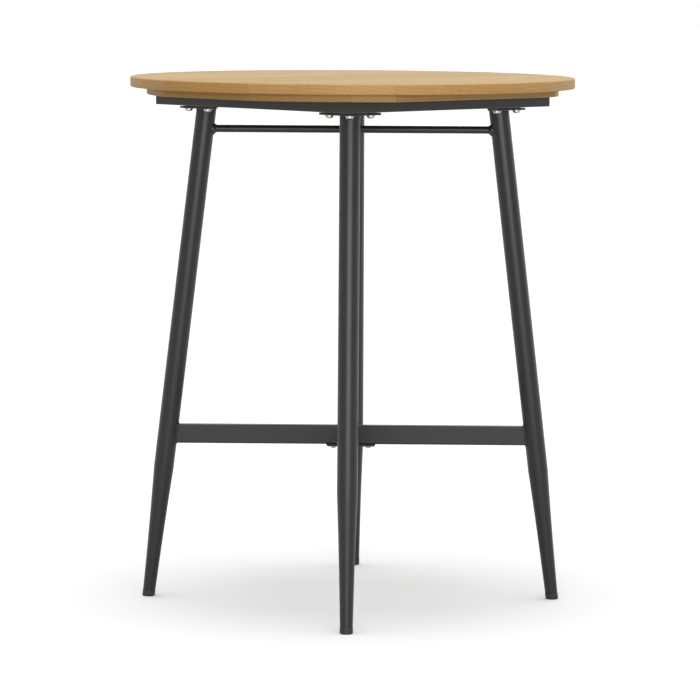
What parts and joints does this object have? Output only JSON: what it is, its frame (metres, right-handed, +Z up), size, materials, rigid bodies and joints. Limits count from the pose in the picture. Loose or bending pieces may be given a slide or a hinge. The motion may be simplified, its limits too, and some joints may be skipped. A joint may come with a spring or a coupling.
{
  "type": "outdoor bar table",
  "caption": "Tall round bar table: wooden board top on a square steel ring, leaning round tube legs drawn in at the feet, upper tie rods and lower cross stretchers.",
  "frame": {"origin": "on the floor, in the middle of the footprint, under the centre of the round top", "axes": "+Z up; +X to the right and -Y to the front of the pictured view; the legs stand on the X and Y axes"},
  "size_m": [0.885, 0.885, 1.05],
  "materials": {
    "top_boards": "oiled",
    "cleats": "oiled",
    "coated_steel": "satin powder coat",
    "plated_steel": "zinc plated",
    "foot_plastic": "matt"
  },
  "bodies": {
    "root": {"cleat_screws": "plated_steel", "corner_plate_front": "coated_steel", "corner_plate_left": "coated_steel", "corner_plate_rear": "coated_steel", "corner_plate_right": "coated_steel", "cross_cleat_left": "cleats", "cross_cleat_right": "cleats", "foot_cap_front": "foot_plastic", "foot_cap_left": "foot_plastic", "foot_cap_rear": "foot_plastic", "foot_cap_right": "foot_plastic", "frame_screws": "plated_steel", "insert_nuts": "plated_steel", "joining_strip": "coated_steel", "leg_bolts": "plated_steel", "leg_front": "coated_steel", "leg_left": "coated_steel", "leg_plate_front": "coated_steel", "leg_plate_left": "coated_steel", "leg_plate_rear": "coated_steel", "leg_plate_right": "coated_steel", "leg_rear": "coated_steel", "leg_right": "coated_steel", "leg_washers": "plated_steel", "main_cleat_front": "cleats", "main_cleat_rear": "cleats", "ring_rail_front_left": "coated_steel", "ring_rail_front_right": "coated_steel", "ring_rail_rear_left": "coated_steel", "ring_rail_rear_right": "coated_steel", "stretcher_front_rear": "coated_steel", "stretcher_left": "coated_steel", "stretcher_right": "coated_steel", "strip_bolts": "plated_steel", "strip_washers": "plated_steel", "top_board_01": "top_boards", "top_board_02": "top_boards", "top_board_03": "top_boards", "top_board_04": "top_boards", "top_board_05": "top_boards", "top_board_06": "top_boards", "top_board_07": "top_boards", "top_board_08": "top_boards", "top_board_09": "top_boards", "top_board_10": "top_boards", "top_board_11": "top_boards", "top_board_12": "top_boards", "upper_rod_front_rear": "coated_steel", "upper_rod_left_right": "coated_steel", "weld_nuts": "coated_steel"}
  },
  "joints": []
}
